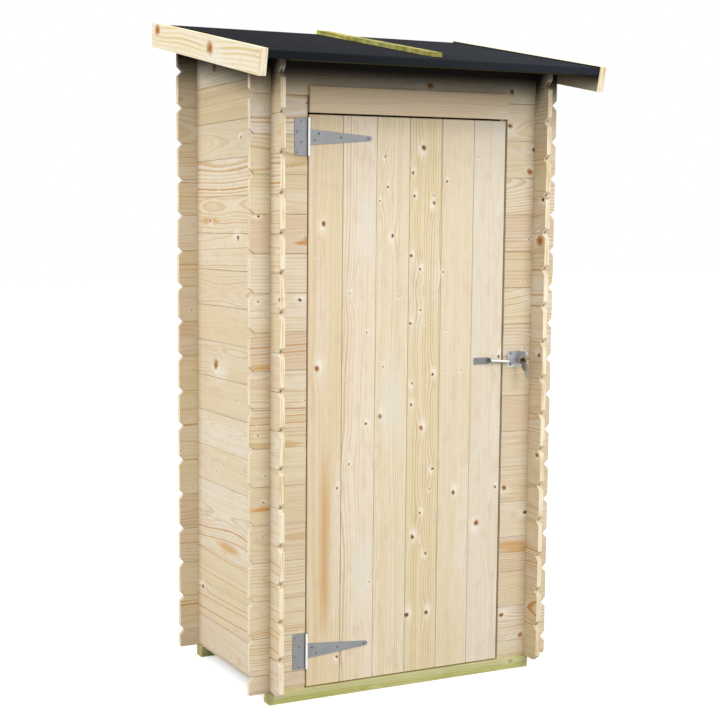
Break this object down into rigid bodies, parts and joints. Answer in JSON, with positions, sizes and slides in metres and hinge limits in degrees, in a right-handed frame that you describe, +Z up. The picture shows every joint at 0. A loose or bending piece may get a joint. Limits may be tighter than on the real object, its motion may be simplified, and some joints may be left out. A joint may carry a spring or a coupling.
{
  "type": "narrow log-board garden tool shed",
  "caption": "Narrow pent-roof garden tool shed of interlocking log boards with a boarded door on T-hinges and a gravity latch.",
  "frame": {"origin": "on the ground, under the middle of the roof's outline", "axes": "+Z up, -Y out of the front wall with the door, +X to the right seen from the front"},
  "size_m": [1.164, 0.821, 2.0832],
  "materials": {
    "spruce_log": "planed, unpainted",
    "spruce_board": "planed, unpainted",
    "treated_wood": "pressure treated, rough sawn",
    "roofing_felt": "mineral-surfaced bitumen felt",
    "galvanised_steel": "galvanised",
    "bright_steel": "zinc plated"
  },
  "bodies": {
    "shed": {"bearer_front": "treated_wood", "bearer_rear": "treated_wood", "floor_boards": "spruce_board", "front_logs_left": "spruce_log", "front_logs_right": "spruce_log", "front_log_top": "spruce_log", "rear_logs": "spruce_log", "left_logs": "spruce_log", "right_logs": "spruce_log", "left_gable_logs": "spruce_log", "right_gable_logs": "spruce_log", "door_post_left": "spruce_board", "door_post_right": "spruce_board", "door_stop_left": "spruce_board", "door_stop_right": "spruce_board", "header_board": "spruce_board", "roof_boards": "spruce_board", "roof_felt": "roofing_felt", "barge_left": "spruce_board", "barge_right": "spruce_board", "eave_batten": "treated_wood", "roof_batten": "treated_wood", "hinge_plate_upper": "galvanised_steel", "hinge_pin_upper": "bright_steel", "hinge_plate_lower": "galvanised_steel", "hinge_pin_lower": "bright_steel", "latch_keep": "galvanised_steel", "latch_rivet": "bright_steel"},
    "door": {"door_boards": "spruce_board", "door_ledge_upper": "spruce_board", "door_ledge_lower": "spruce_board", "door_brace": "spruce_board", "hinge_strap_upper": "galvanised_steel", "hinge_strap_lower": "galvanised_steel", "latch_bar": "galvanised_steel"},
    "latch_arm": {"latch_arm": "galvanised_steel"}
  },
  "joints": [
    {"name": "door_hinge", "type": "hinge", "parent": "shed", "child": "door", "pos_m": [-0.3455, -0.238, 0.916], "axis": [0, 0, -1], "range_deg": [0, 135]},
    {"name": "latch_pivot", "type": "hinge", "parent": "shed", "child": "latch_arm", "pos_m": [0.4, -0.2485, 1.02], "axis": [-1, 0, 0], "range_deg": [0, 70]}
  ]
}
